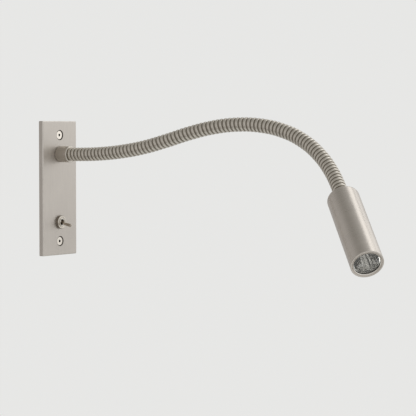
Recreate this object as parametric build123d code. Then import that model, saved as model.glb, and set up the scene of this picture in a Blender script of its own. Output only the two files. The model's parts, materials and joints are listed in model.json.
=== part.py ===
from build123d import *
from math import atan2, cos, degrees, hypot, pi, radians, sin, sqrt
import os

# Wall reading lamp on a flexible neck, in millimetres.
# The origin is the middle of the back plate's rear face. +Z is up, the wall is at Y = 0
# and the lamp stands out from it towards -Y. "Depth" below is a distance out from the wall.

# ---- driving dimensions -------------------------------------------------------------

running_gap = 0.1        # radial clearance round a part in a hole
seat_gap = 0.02          # radial clearance of a part pressed in a bore

# back plate
plate_width = 50.0
plate_height = 130.0
plate_thickness = 5.0
plate_corner = 1.0
plate_edge_break = 0.8

# wall screws, countersunk with a hexagon socket
screw_spacing = 103.0
screw_head = 8.0
screw_sink = 9.4
screw_hole = 4.5
screw_thread = 4.0
screw_shank = 3.5
screw_shank_reach = 0.6
screw_reach = 15.7
screw_socket = 2.5
screw_socket_depth = 1.6

# neck: a ribbed tube in short sections that swivel on each other
neck_height = 33.0
neck_diameter = 13.2
neck_groove = 0.9
neck_bore = 7.0
rib_pitch = 4.2
ribs_per_section = 6
ribs_per_end = 3
rib_foot = 0.1           # where a rib starts and where its crest starts, as shares of the pitch
rib_crest = 0.3
spigot_diameter = 10.4
spigot_length = 4.0
ball_diameter = 10.0
ball_gap = 0.15
ball_cap = 2.8

# how each section bends in the neck's resting pose: degrees up, degrees towards +X
rest_bends = [
    (4.0, 2.0), (3.0, 1.5), (5.0, 1.0), (4.5, 1.0), (-1.5, 1.0), (-5.5, 0.5), (-7.5, -1.5),
    (-8.5, -4.0), (-9.5, -6.5), (-9.5, -7.5), (-8.0, -7.5), (-5.5, -7.0), (-2.5, -7.0),
]

# collar that holds the neck on the plate, with its threaded tail
collar_diameter = 15.6
collar_length = 14.0
collar_edge = 0.7
tail_diameter = 10.0
tail_reach = 9.0
thread_lead_in = 0.4
tail_seat_diameter = 24.0
tail_seat_depth = 1.2
washer_diameter = 17.6
washer_thickness = 0.6
washer_teeth = 12
washer_notch = 1.2
nut_across_flats = 14.0
nut_thickness = 3.0

# bracket behind the plate, with the supply terminals and the earth screw
bracket_sheet = 1.0
bracket_eye_diameter = 19.0
bracket_width = 10.0
bracket_drop = 10.5      # from the neck's axis to the bracket's bend
bracket_depth = 6.0      # from the plate's rear face to the bracket's rear face
bracket_length = 36.0
bracket_leg_width = 22.0
bracket_leg_shift = 6.0  # the leg and the block sit to the +X side of the neck's axis
block_width = 20.0
block_height = 16.0
block_thickness = 11.0
block_drop = 25.0        # from the neck's axis to the block's middle
block_shift = 10.0
block_pole_spacing = 10.0
block_entry = 3.0
block_corner = 1.0
clamp_screw_diameter = 3.6
clamp_screw_inset = 4.0
clamp_screw_sunk = 1.0
screw_sunk = 0.5
screw_tail = 1.5         # how far a screw stands through its nut or sheet
block_screw_diameter = 3.0
block_screw_head = 5.5
earth_screw_drop = 42.0
earth_screw_diameter = 4.0
earth_screw_head = 7.5
screw_head_height = 2.2
slot_width = 0.8
slot_depth = 0.7

# toggle switch
switch_height = -33.0
switch_pocket_diameter = 17.0
switch_pocket_depth = 2.5
bushing_diameter = 8.0
bushing_bore = 5.4
bushing_face_depth = 8.2
bushing_mouth = 6.4
bushing_edge = 0.3
flange_thickness = 0.8
switch_width = 8.0
switch_length = 13.2
switch_body_depth = 9.7
switch_wall = 0.9
keeper_thickness = 0.5
keeper_diameter = 13.0
ring_nut_diameter = 13.0
ring_nut_thickness = 2.6
ring_nut_grooves = 32
ring_nut_groove_depth = 0.35
ring_nut_edge = 0.45
ring_nut_recess = 0.5
ring_nut_recess_diameter = 10.2
lever_pivot_depth = 4.2
lever_tilt = 12.5
lever_reach = 15.2       # from the pivot to the tip
lever_waist_length = 3.5
lever_grip_length = 4.8
lever_tip_diameter = 3.0
lever_waist_diameter = 2.1
lever_ball_diameter = 4.6
lever_tail_diameter = 2.4
lever_tail_reach = 5.0
plunger_diameter = 1.6
plunger_reach = 6.2
plunger_length = 3.2
pivot_pin_diameter = 1.2
pivot_pin_inset = 0.3
rocker_length = 9.0
rocker_width = 3.0
rocker_thickness = 0.8
rocker_tilt = 8.0
rocker_gap = 0.3
terminal_spacing = 4.7
terminal_width = 2.4
terminal_thickness = 0.8
terminal_reach = 4.0

# lamp head
head_diameter = 28.0
head_length = 87.0
head_bore = 24.8
head_cap = 3.0
head_top_radius = 2.2
head_mouth_edge = 0.3
nipple_reach = 8.0
nipple_spigot_diameter = 8.8
nipple_bore = 6.0
front_ring_setback = 0.2
front_ring_thickness = 1.2
front_ring_opening = 22.4
front_ring_flare = 0.5
lens_thickness = 1.5
lens_edge = 0.2
gasket_thickness = 0.5
gasket_opening = 22.2
reflector_mouth = 21.6
reflector_throat = 6.8
reflector_depth = 15.0
reflector_wall = 0.8
reflector_flange = 1.0
reflector_bands = 5      # bands of facets, each a straight cone
reflector_curve = 0.62   # under 1 opens fastest at the throat
led_ring_height = 2.2
led_ring_diameter = 11.2
board_diameter = 21.0
board_thickness = 1.6
pad_thickness = 0.4
emitter_size = 3.5
emitter_height = 0.8
dome_diameter = 2.8
board_screw_radius = 8.2
board_screw_thread = 2.0
board_screw_head = 3.6
board_screw_head_height = 1.2
board_screw_length = 6.0
heat_sink_length = 15.0
heat_sink_fins = 4
heat_sink_fin_depth = 2.5
lead_hole_radius = 7.8
lead_hole_diameter = 3.6
board_hole_diameter = 3.2
sleeve_wall = 1.3
driver_drop = 1.6        # from the barrel's axis to the middle of the driver board
driver_thickness = 1.6
driver_rear_gap = 3.0
driver_front_gap = 6.0
driver_groove = 0.5

# parts on the driver board: a choke, a chip, a capacitor and two diodes
component_start = 5.5
component_gap = 1.5
choke_offset = 5.6
choke_length = 7.5
choke_height = 5.0
choke_corner = 1.5
chip_offset = 4.5
chip_width = 5.0
chip_length = 4.0
chip_height = 1.6
capacitor_offset = 5.0
capacitor_diameter = 5.2
capacitor_length = 9.0
diode_width = 4.4
diode_length = 2.6
diode_height = 2.0
diodes = 2

# leads
lead_diameter = 1.6
lead_spread = 1.9
fine_lead_diameter = 1.1
fine_lead_spread = 1.4
lead_bend = 3.0
fine_lead_bend = 0.66
lead_lap = 4.5           # length held in a terminal, or soldered to the driver board
fine_lead_lap = 2.4

# ---- sizes that follow from them ----------------------------------------------------

neck_radius = neck_diameter / 2
groove_radius = neck_radius - neck_groove
section_length = ribs_per_section * rib_pitch
end_length = ribs_per_end * rib_pitch
joint_setback = rib_crest * rib_pitch
collar_face = plate_thickness + collar_length
tail_seat = tail_seat_depth
bracket_seat = tail_seat - washer_thickness
nut_seat = bracket_seat - bracket_sheet
block_face = -bracket_depth
block_rear = block_face - block_thickness
switch_seat = switch_pocket_depth
flange_face = switch_seat - keeper_thickness
case_face = flange_face - flange_thickness
case_rear = case_face - switch_body_depth
terminal_rear = case_rear - terminal_reach
rocker_top = lever_pivot_depth - plunger_reach - rocker_gap
rocker_pivot = rocker_top - rocker_thickness
head_bore_radius = head_bore / 2
ring_front = head_length - front_ring_setback
lens_front = ring_front - front_ring_thickness
gasket_front = lens_front - lens_thickness
reflector_front = gasket_front - gasket_thickness
reflector_rear = reflector_front - reflector_depth
board_front = reflector_rear - led_ring_height
pad_front = board_front - board_thickness
sink_front = pad_front - pad_thickness
sink_rear = sink_front - heat_sink_length
sleeve_bore_radius = head_bore_radius - seat_gap - sleeve_wall
driver_rear = nipple_reach + driver_rear_gap
driver_front = sink_rear - driver_front_gap

# ---- shape helpers ------------------------------------------------------------------


def rod(radius, low, high):
    # round bar on the Z axis between two heights
    return Pos(0, 0, low) * Cylinder(radius, high - low, align=(Align.CENTER, Align.CENTER, Align.MIN))


def slab(width, height, low, high):
    # rectangular bar on the Z axis between two heights
    return Pos(0, 0, low) * Box(
        width, height, high - low, align=(Align.CENTER, Align.CENTER, Align.MIN)
    )


def turned(*outline):
    # solid of revolution about Z, from (radius, height) points
    corners = [(radius, 0, height) for radius, height in outline]
    return revolve(make_face(Polyline(*corners, close=True)), Axis.Z)


def hexagon(across_flats, low, high):
    outline = RegularPolygon(across_flats / 2, 6, major_radius=False)
    return Pos(0, 0, low) * extrude(outline, high - low)


def from_wall(height, depth=0.0, side=0.0):
    # place on the plate: X stays, Y is up and Z runs out from the wall
    return Location(Plane(origin=(side, -depth, height), x_dir=(1, 0, 0), z_dir=(0, -1, 0)))


def bent(rise, swing, length, share=1.0):
    # place at a share of an arc that leaves the origin along Z and bends towards Y and X
    turn = hypot(rise, swing)
    if turn == 0:
        return Pos(0, 0, length * share)
    radius = length / radians(turn)
    facing = degrees(atan2(swing, -rise))
    return Rot(Z=facing) * Pos(0, -radius, 0) * Rot(X=turn * share) * Pos(0, radius, 0) * Rot(Z=-facing)


def slotted_screw(thread, head, length, head_height=screw_head_height):
    # the head's underside is at the origin, and the thread runs down from it
    screw = rod(thread / 2, -length, 0.1) + rod(head / 2, 0, head_height)
    return screw - slab(head * 2, slot_width, head_height - slot_depth, head_height + 1)


def lead(start, *points, diameter=lead_diameter, bend=lead_bend):
    # round wire along straight runs joined by arcs; it leaves its start square to the first run
    path = FilletPolyline(start, *points, radius=bend)
    first = Vector(*points[0]) - Vector(*start)
    return sweep(Plane(origin=start, z_dir=first) * Circle(diameter / 2), path=path)


# ---- places along the neck ----------------------------------------------------------

neck_exit = from_wall(neck_height, collar_face)
joint_places = [neck_exit * Pos(0, 0, end_length)]
for rise, swing in rest_bends:
    joint_places.append(joint_places[-1] * bent(rise, swing, section_length))
head_place = joint_places[-1] * Pos(0, 0, end_length)

# ---- plate and wall screws ----------------------------------------------------------


def make_back_plate():
    plate = slab(plate_width, plate_height, 0, plate_thickness)
    plate = fillet(plate.edges().filter_by(Axis.Z), plate_corner)
    plate = chamfer(plate.faces().sort_by(Axis.Z)[-1].edges(), plate_edge_break)
    neck = Pos(0, neck_height)
    plate -= neck * rod(tail_diameter / 2 + running_gap, -1, plate_thickness + 1)
    plate -= neck * rod(tail_seat_diameter / 2, -1, tail_seat_depth)
    switch = Pos(0, switch_height)
    plate -= switch * rod(bushing_diameter / 2 + running_gap, -1, plate_thickness + 1)
    plate -= switch * rod(switch_pocket_diameter / 2, -1, switch_pocket_depth)
    sink_depth = (screw_sink - screw_hole) / 2
    sink = turned(
        (0, plate_thickness - sink_depth - 1),
        (screw_hole / 2, plate_thickness - sink_depth - 1),
        (screw_hole / 2, plate_thickness - sink_depth),
        (screw_sink / 2 + 1, plate_thickness + 1),
        (0, plate_thickness + 1),
    )
    for side in (-1, 1):
        here = Pos(0, side * screw_spacing / 2)
        plate -= here * rod(screw_hole / 2, -1, plate_thickness)
        plate -= here * sink
    return from_wall(0) * plate


def make_wall_screws():
    head_top = plate_thickness - (screw_sink - screw_head) / 2 + seat_gap
    neck_depth = head_top - (screw_head - screw_shank) / 2
    screw = turned(
        (0, -screw_reach),
        (screw_thread / 2 - thread_lead_in, -screw_reach),
        (screw_thread / 2, thread_lead_in - screw_reach),
        (screw_thread / 2, -screw_shank_reach),
        (screw_shank / 2, -screw_shank_reach),
        (screw_shank / 2, neck_depth),
        (screw_head / 2, head_top),
        (0, head_top),
    )
    screw -= hexagon(screw_socket, head_top - screw_socket_depth, head_top + 1)
    return [from_wall(side * screw_spacing / 2) * screw for side in (-1, 1)]


# ---- neck ---------------------------------------------------------------------------


def make_neck_collar():
    tail = tail_diameter / 2
    outer = collar_diameter / 2
    socket = spigot_diameter / 2 + seat_gap
    floor = collar_face - spigot_length
    collar = turned(
        (neck_bore / 2, -tail_reach),
        (tail - thread_lead_in, -tail_reach),
        (tail, thread_lead_in - tail_reach),
        (tail, plate_thickness),
        (outer, plate_thickness),
        (outer, collar_face),
        (socket, collar_face),
        (socket, floor),
        (neck_bore / 2, floor),
    )
    rims = collar.edges().filter_by(GeomType.CIRCLE).filter_by(lambda e: e.radius > outer - 0.01)
    return from_wall(neck_height) * fillet(rims, collar_edge)


def toothed_washer(inner):
    washer = rod(washer_diameter / 2, 0, washer_thickness)
    tooth_step = 360 / washer_teeth
    for tooth in range(washer_teeth):
        notch = Rot(Z=tooth * tooth_step) * Pos(washer_diameter / 2, 0)
        washer -= notch * slab(2 * washer_notch, washer_notch, -1, washer_thickness + 1)
    return washer - rod(inner + running_gap, -1, washer_thickness + 1)


def lock_nut():
    blank = hexagon(nut_across_flats, 0, nut_thickness)
    return blank - rod(tail_diameter / 2 + seat_gap, -1, nut_thickness + 1)


def ribs(place_at, length, first_end, last_end):
    # ribbed bar: four circles to a rib. An end that swivels starts and stops on a crest.
    count = round(length / rib_pitch)
    circles = []
    if not first_end:
        circles.append((0, groove_radius))
    for rib in range(count):
        start = rib * rib_pitch
        marks = [
            (start + rib_foot * rib_pitch, groove_radius),
            (start + rib_crest * rib_pitch, neck_radius),
            (start + (1 - rib_crest) * rib_pitch, neck_radius),
            (start + (1 - rib_foot) * rib_pitch, groove_radius),
        ]
        if first_end and rib == 0:
            marks = marks[1:]
        if last_end and rib == count - 1:
            marks = marks[:-1]
        circles += marks
    if not last_end:
        circles.append((length, groove_radius))
    return loft([place_at(along) * Circle(radius) for along, radius in circles], ruled=True)


def neck_tube(rise, swing, length, socket, ball):
    # one section of neck, from the joint at its start to the joint at its end
    turn = hypot(rise, swing)
    place_at = lambda along: bent(rise, swing, length, along / length)
    tube = ribs(place_at, length, socket, ball)
    end = place_at(length)
    if ball:
        cap = Sphere(ball_diameter / 2) & rod(ball_diameter, -joint_setback - 0.3, ball_cap)
        tube += end * cap
    if turn:
        facing = degrees(atan2(swing, -rise))
        radius = length / radians(turn)
        hollow = revolve(Circle(neck_bore / 2), Axis((0, -radius, 0), (1, 0, 0)), turn)
        tube -= Rot(Z=facing) * hollow
        tube -= end * rod(neck_bore / 2, -0.01, ball_cap + 1)
    else:
        tube -= rod(neck_bore / 2, -1, length + ball_cap + 1)
    if socket:
        tube -= Sphere(ball_diameter / 2 + ball_gap)
    return tube


def make_neck_root():
    turns = neck_tube(0, 0, end_length, False, True)
    turns += rod(spigot_diameter / 2, -spigot_length, 0.2) - rod(neck_bore / 2, -spigot_length - 1, 1)
    return neck_exit * turns


def make_neck_tip():
    turns = neck_tube(0, 0, end_length, True, False)
    socket = nipple_spigot_diameter / 2 + seat_gap
    turns -= rod(socket, end_length - spigot_length, end_length + 1)
    return joint_places[-1] * turns


def make_neck_leads():
    # two wires through the collar, the neck and the nipple
    wires = []
    for side in (-1, 1):
        offset = Pos(side * lead_spread / 2, 0, 0)
        spot = lambda place: (place * offset).position
        tail = from_wall(neck_height, -tail_reach)
        edges = [Line(spot(tail), spot(joint_places[0]))]
        for place, (rise, swing) in zip(joint_places, rest_bends):
            middle = place * bent(rise, swing, section_length, 0.5)
            end = place * bent(rise, swing, section_length)
            edges.append(ThreePointArc(spot(place), spot(middle), spot(end)))
        tip = head_place * Pos(0, 0, nipple_reach)
        edges.append(Line(spot(joint_places[-1]), spot(tip)))
        section = tail * offset * Circle(lead_diameter / 2)
        wires.append(sweep(section, path=Wire([edge.edge() for edge in edges])))
    return wires


# ---- behind the plate ---------------------------------------------------------------


def make_neck_washer():
    return from_wall(neck_height, bracket_seat) * toothed_washer(tail_diameter / 2)


def make_terminal_bracket():
    # local Y is up and Z points out from the wall, with the neck's axis at X = Y = 0
    step = -bracket_depth
    eye = rod(bracket_eye_diameter / 2, nut_seat, bracket_seat)
    tab = Pos(0, -bracket_drop / 2) * slab(bracket_width, bracket_drop, nut_seat, bracket_seat)
    rise = Pos(0, bracket_sheet / 2 - bracket_drop) * slab(
        bracket_width, bracket_sheet, step, bracket_seat
    )
    leg_middle = -bracket_drop + bracket_sheet - bracket_length / 2
    leg = Pos(bracket_leg_shift, leg_middle) * slab(
        bracket_leg_width, bracket_length, step, step + bracket_sheet
    )
    bracket = eye + tab + rise + leg
    bracket -= rod(tail_diameter / 2 + running_gap, nut_seat - 1, bracket_seat + 1)
    for shift, drop, thread in (
        (block_shift, block_drop, block_screw_diameter),
        (0, earth_screw_drop, earth_screw_diameter),
    ):
        hole = rod(thread / 2 + seat_gap, step - 1, step + bracket_sheet + 1)
        bracket -= Pos(shift, -drop) * hole
    return from_wall(neck_height) * bracket


def make_neck_nut():
    return from_wall(neck_height, nut_seat - nut_thickness) * lock_nut()


def block_place():
    return from_wall(neck_height - block_drop, side=block_shift)


def clamp_spots():
    inset = block_height / 2 - clamp_screw_inset
    return [
        Pos(side * block_pole_spacing / 2, end * inset) for side in (-1, 1) for end in (-1, 1)
    ]


def make_terminal_block():
    block = slab(block_width, block_height, block_rear, block_face)
    block = fillet(block.edges().filter_by(Axis.Z), block_corner)
    sink = block_rear + screw_head_height + screw_sunk
    block -= rod(block_screw_head / 2 + running_gap, block_rear - 1, sink)
    block -= rod(block_screw_diameter / 2 + running_gap, block_rear, block_face + 1)
    entry_depth = (block_rear + block_face) / 2
    for side in (-1, 1):
        entry = Pos(side * block_pole_spacing / 2, 0, entry_depth) * Rot(X=90)
        block -= entry * rod(block_entry / 2, -block_height, block_height)
    for spot in clamp_spots():
        block -= spot * rod(clamp_screw_diameter / 2 + running_gap, block_rear - 1, entry_depth)
    return block_place() * block


def make_clamp_screws():
    # each stops just short of the wire entry
    entry_depth = (block_rear + block_face) / 2
    top = entry_depth - block_entry / 2 - seat_gap
    low = block_rear + clamp_screw_sunk
    screw = rod(clamp_screw_diameter / 2, low, top)
    screw -= slab(clamp_screw_diameter * 2, slot_width, block_rear, low + slot_depth)
    return [block_place() * spot * screw for spot in clamp_spots()]


def make_block_screw():
    seat = screw_head_height + screw_sunk
    length = block_thickness - seat + bracket_sheet + screw_tail
    place = block_place() * Pos(0, 0, block_rear + seat) * Rot(X=180)
    return place * slotted_screw(block_screw_diameter, block_screw_head, length)


def make_earth_screw():
    place = from_wall(neck_height - earth_screw_drop, -bracket_depth) * Rot(X=180)
    return place * slotted_screw(earth_screw_diameter, earth_screw_head, bracket_sheet + screw_tail)


def make_rear_leads():
    # neck to terminal block, neck to switch, terminal block to switch
    half = lead_spread / 2
    exit_y = tail_reach + 1.5 * lead_bend
    entry_y = bracket_depth + block_thickness / 2
    near_pole = block_shift - block_pole_spacing / 2
    far_pole = block_shift + block_pole_spacing / 2
    block_top = neck_height - block_drop + block_height / 2
    block_bottom = block_top - block_height
    beside = block_shift + block_width / 2 + 1.25 * lead_diameter
    lug = -terminal_rear
    behind = lug + 1.35 * lead_bend
    upper = switch_height + terminal_spacing
    neutral = lead(
        (-half, tail_reach, neck_height),
        (-half, exit_y, neck_height),
        (near_pole, entry_y, block_top + 2 * lead_bend),
        (near_pole, entry_y, block_top - lead_lap),
    )
    switched = lead(
        (half, tail_reach, neck_height),
        (half, exit_y, neck_height),
        (beside, exit_y, block_top + lead_bend),
        (beside, exit_y, block_bottom),
        (0, behind, upper),
        (0, lug, upper),
    )
    feed = lead(
        (far_pole, entry_y, block_bottom + lead_lap),
        (far_pole, entry_y, block_bottom - 4.5 * lead_bend),
        (0, behind, switch_height),
        (0, lug, switch_height),
    )
    return [neutral, switched, feed]


# ---- toggle switch ------------------------------------------------------------------

switch_place = from_wall(switch_height)
lever_place = switch_place * Pos(0, 0, lever_pivot_depth) * Rot(X=lever_tilt)
rocker_place = switch_place * Pos(0, 0, rocker_pivot) * Rot(X=-rocker_tilt)


def make_switch_bushing():
    outer = bushing_diameter / 2
    bushing = slab(switch_width, switch_length, case_face, flange_face)
    bushing += rod(outer, case_face, bushing_face_depth)
    bushing = chamfer(bushing.faces().sort_by(Axis.Z)[-1].edges(), bushing_edge)
    bushing -= rod(bushing_bore / 2, case_face - 1, bushing_face_depth + 1)
    mouth = (bushing_mouth - bushing_bore) / 2
    bushing -= turned(
        (0, bushing_face_depth - mouth),
        (bushing_bore / 2, bushing_face_depth - mouth),
        (bushing_mouth / 2 + 1, bushing_face_depth + 1),
        (0, bushing_face_depth + 1),
    )
    pin = Pos(0, 0, lever_pivot_depth) * Rot(Y=90)
    bushing -= pin * rod(pivot_pin_diameter / 2 + seat_gap, -outer - 1, outer + 1)
    return switch_place * bushing


def make_switch_washer():
    washer = rod(keeper_diameter / 2, flange_face, switch_seat)
    washer -= rod(bushing_diameter / 2 + running_gap, flange_face - 1, switch_seat + 1)
    return switch_place * washer


def make_switch_ring_nut():
    # knurled edge: straight V grooves all the way round
    outer = ring_nut_diameter / 2
    corners = []
    for groove in range(ring_nut_grooves):
        angle = 2 * pi * groove / ring_nut_grooves
        half = pi / ring_nut_grooves
        corners.append((outer * cos(angle), outer * sin(angle)))
        inner = outer - ring_nut_groove_depth
        corners.append((inner * cos(angle + half), inner * sin(angle + half)))
    low = plate_thickness
    high = low + ring_nut_thickness
    knurled = Pos(0, 0, low) * extrude(make_face(Polyline(*corners, close=True)), ring_nut_thickness)
    bore = bushing_diameter / 2 + seat_gap
    recess = ring_nut_recess_diameter / 2
    envelope = turned(
        (bore, low),
        (outer - ring_nut_edge, low),
        (outer, low + ring_nut_edge),
        (outer, high - ring_nut_edge),
        (outer - ring_nut_edge, high),
        (recess, high),
        (recess - ring_nut_recess, high - ring_nut_recess),
        (bore, high - ring_nut_recess),
    )
    return switch_place * (knurled & envelope)


def make_switch_case():
    floor = case_rear + switch_wall
    ceiling = case_face - switch_wall
    case = slab(switch_width, switch_length, case_rear, case_face)
    case -= slab(switch_width - 2 * switch_wall, switch_length - 2 * switch_wall, floor, ceiling)
    case -= rod(bushing_mouth / 2, ceiling - 1, case_face + 1)
    for step in (-1, 0, 1):
        slot = Pos(0, step * terminal_spacing)
        width = terminal_width + 2 * seat_gap
        case -= slot * slab(width, terminal_thickness + 2 * seat_gap, case_rear - 1, floor + 1)
    return switch_place * case


def make_switch_terminals():
    drop = rocker_length / 2 * sin(radians(rocker_tilt))
    contact = rocker_pivot - drop - rocker_gap
    lugs = []
    for step in (-1, 0, 1):
        top = rocker_pivot - rocker_gap if step == 0 else contact
        lug = slab(terminal_width, terminal_thickness, terminal_rear, top)
        lugs.append(switch_place * Pos(0, step * terminal_spacing) * lug)
    return lugs


def make_switch_lever():
    ball = lever_ball_diameter / 2
    waist = lever_waist_diameter / 2
    tip = lever_tip_diameter / 2
    tail = lever_tail_diameter / 2
    lever = Sphere(ball)
    lever += turned(
        (0, 0),
        (waist, 0),
        (waist, lever_waist_length),
        (tip, lever_reach - lever_grip_length),
        (tip, lever_reach - tip),
        (0, lever_reach - tip),
    )
    lever += Pos(0, 0, lever_reach - tip) * Sphere(tip)
    lever += rod(tail, -lever_tail_reach, 0)
    lever -= rod(plunger_diameter / 2 + seat_gap, -lever_tail_reach - 1, plunger_length - plunger_reach)
    pin = pivot_pin_diameter / 2 + running_gap / 2
    lever -= Rot(Y=90) * rod(pin, -ball - 1, ball + 1)
    return lever_place * lever


def make_switch_plunger():
    radius = plunger_diameter / 2
    plunger = rod(radius, -plunger_reach + radius, plunger_length - plunger_reach)
    return lever_place * (plunger + Pos(0, 0, radius - plunger_reach) * Sphere(radius))


def make_switch_pivot_pin():
    half = bushing_diameter / 2 - pivot_pin_inset
    pin = Pos(0, 0, lever_pivot_depth) * Rot(Y=90) * rod(pivot_pin_diameter / 2, -half, half)
    return switch_place * pin


def make_switch_rocker():
    # a flat blade that rocks on the middle of its underside, over the middle terminal
    return rocker_place * slab(rocker_width, rocker_length, 0, rocker_thickness)


# ---- lamp head, with the light leaving along +Z from the barrel's closed end ------------


def make_head_barrel():
    radius = head_diameter / 2
    barrel = rod(radius, 0, head_length)
    barrel = fillet(barrel.edges().sort_by(Axis.Z)[0], head_top_radius)
    barrel -= rod(head_bore_radius, head_cap, head_length + 1)
    barrel -= rod(tail_diameter / 2 + running_gap, -1, head_cap + 1)
    mouth = barrel.faces().sort_by(Axis.Z)[-1].edges()
    return head_place * chamfer(mouth, head_mouth_edge)


def make_neck_nipple():
    spigot = nipple_spigot_diameter / 2
    bore = nipple_bore / 2
    nipple = rod(spigot, seat_gap - spigot_length, 0.1) + rod(tail_diameter / 2, 0, nipple_reach)
    return head_place * (nipple - rod(bore, -spigot_length - 1, nipple_reach + 1))


def make_head_washer():
    return head_place * Pos(0, 0, head_cap) * toothed_washer(tail_diameter / 2)


def make_head_nut():
    return head_place * Pos(0, 0, head_cap + washer_thickness) * lock_nut()


def make_driver_sleeve():
    outer = head_bore_radius - seat_gap
    sleeve = rod(outer, head_cap, sink_rear) - rod(sleeve_bore_radius, head_cap - 1, sink_rear + 1)
    width = 2 * (sleeve_bore_radius + driver_groove)
    groove = Pos(0, -driver_drop) * slab(
        width, driver_thickness + 2 * seat_gap, driver_rear - seat_gap, sink_rear + 1
    )
    return head_place * (sleeve - groove)


def make_driver_board():
    width = 2 * sqrt((sleeve_bore_radius + driver_groove) ** 2 - (driver_drop + driver_thickness / 2) ** 2)
    board = slab(width - 2 * running_gap, driver_thickness, driver_rear, driver_front)
    return head_place * Pos(0, -driver_drop) * board


def make_driver_components():
    top = driver_thickness / 2 - driver_drop
    start = driver_rear + component_start
    choke_place = Pos(choke_offset, top + choke_height / 2, start + choke_length / 2)
    choke = choke_place * Box(choke_length, choke_height, choke_length)
    choke = fillet(choke.edges().filter_by(Axis.Y), choke_corner)
    chip_start = start + choke_length + component_gap
    chip_place = Pos(chip_offset, top + chip_height / 2, chip_start + chip_length / 2)
    chip = chip_place * Box(chip_width, chip_height, chip_length)
    radius = capacitor_diameter / 2
    can = Pos(-capacitor_offset, top + radius) * rod(radius, start, start + capacitor_length)
    placed = [choke, chip, can]
    diode_start = start + capacitor_length + component_gap
    for diode in range(diodes):
        middle = diode_start + diode_length / 2 + diode * (diode_length + component_gap)
        diode_place = Pos(-capacitor_offset, top + diode_height / 2, middle)
        placed.append(diode_place * Box(diode_width, diode_height, diode_length))
    return [head_place * piece for piece in placed]


def make_heat_sink():
    outer = head_bore_radius - seat_gap
    sink = rod(outer, sink_rear, sink_front)
    fin_pitch = heat_sink_length / (heat_sink_fins + 2)
    for fin in range(heat_sink_fins):
        low = sink_rear + (fin + 0.5) * fin_pitch
        groove = rod(outer + 1, low, low + fin_pitch / 2)
        sink -= groove - rod(outer - heat_sink_fin_depth, low - 1, low + fin_pitch)
    sink -= Pos(0, lead_hole_radius) * rod(lead_hole_diameter / 2, sink_rear - 1, sink_front + 1)
    for side in (-1, 1):
        hole = rod(board_screw_thread / 2 + seat_gap, sink_front - board_screw_length, sink_front + 1)
        sink -= Pos(side * board_screw_radius, 0) * hole
    return head_place * sink


def round_board(low, high):
    # disc with the two screw holes and a hole for the leads
    disc = rod(board_diameter / 2, low, high)
    disc -= Pos(0, lead_hole_radius) * rod(board_hole_diameter / 2, low - 1, high + 1)
    for side in (-1, 1):
        hole = rod(board_screw_thread / 2 + running_gap, low - 1, high + 1)
        disc -= Pos(side * board_screw_radius, 0) * hole
    return disc


def make_thermal_pad():
    return head_place * round_board(sink_front, pad_front)


def make_led_board():
    return head_place * round_board(pad_front, board_front)


def make_board_screws():
    screw = slotted_screw(
        board_screw_thread, board_screw_head, board_screw_length, board_screw_head_height
    )
    return [
        head_place * Pos(side * board_screw_radius, 0, board_front) * screw for side in (-1, 1)
    ]


def make_led_emitter():
    chip = slab(emitter_size, emitter_size, board_front, board_front + emitter_height)
    return head_place * chip


def make_led_dome():
    base = board_front + emitter_height
    dome = Pos(0, 0, base) * Sphere(dome_diameter / 2)
    return head_place * (dome & rod(dome_diameter, base, base + dome_diameter))


def make_led_ring():
    ring = rod(led_ring_diameter / 2, board_front, reflector_rear)
    return head_place * (ring - rod(reflector_throat / 2, board_front - 1, reflector_rear + 1))


def reflector_radius(height):
    # bowl that opens quickly at the throat and runs nearly straight at the mouth
    share = (height - reflector_rear) / reflector_depth
    return (reflector_throat + (reflector_mouth - reflector_throat) * share ** reflector_curve) / 2


def make_reflector():
    heights = [
        reflector_rear + reflector_depth * band / reflector_bands
        for band in range(reflector_bands + 1)
    ]
    inner = [(reflector_radius(height), height) for height in heights]
    rim = reflector_front - reflector_flange
    outer = [(radius + reflector_wall, height) for radius, height in inner if height < rim]
    flange = head_bore_radius - seat_gap
    under = reflector_radius(rim) + reflector_wall
    outline = inner + [(flange, reflector_front), (flange, rim), (under, rim)] + outer[::-1]
    return head_place * turned(*outline)


def make_lens_gasket():
    gasket = rod(head_bore_radius - seat_gap, reflector_front, gasket_front)
    return head_place * (gasket - rod(gasket_opening / 2, reflector_front - 1, gasket_front + 1))


def make_front_lens():
    lens = rod(head_bore_radius - seat_gap, gasket_front, lens_front)
    return head_place * chamfer(lens.edges(), lens_edge)


def make_front_ring():
    opening = front_ring_opening / 2
    return head_place * turned(
        (opening, lens_front),
        (head_bore_radius - seat_gap, lens_front),
        (head_bore_radius - seat_gap, ring_front),
        (opening + front_ring_flare, ring_front),
        (opening, ring_front - front_ring_flare),
    )


def make_head_leads():
    # thick pair from the neck to the driver board, fine pair from there to the LED board
    top = driver_thickness / 2 - driver_drop
    leads = []
    for side in (-1, 1):
        thick = Pos(side * lead_spread / 2, 0) * rod(
            lead_diameter / 2, nipple_reach, driver_rear + lead_lap
        )
        leads.append(head_place * thick)
        x = side * fine_lead_spread / 2
        rest = top + fine_lead_diameter / 2
        leads.append(head_place * lead(
            (x, rest, driver_front - fine_lead_lap),
            (x, rest, driver_front + 2 * fine_lead_bend),
            (x, lead_hole_radius, sink_rear - 2 * fine_lead_bend),
            (x, lead_hole_radius, board_front + fine_lead_diameter),
            (x, led_ring_diameter / 2 + running_gap, board_front + fine_lead_diameter),
            diameter=fine_lead_diameter, bend=fine_lead_bend,
        ))
    return leads


# ---- all the pieces -----------------------------------------------------------------

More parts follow.
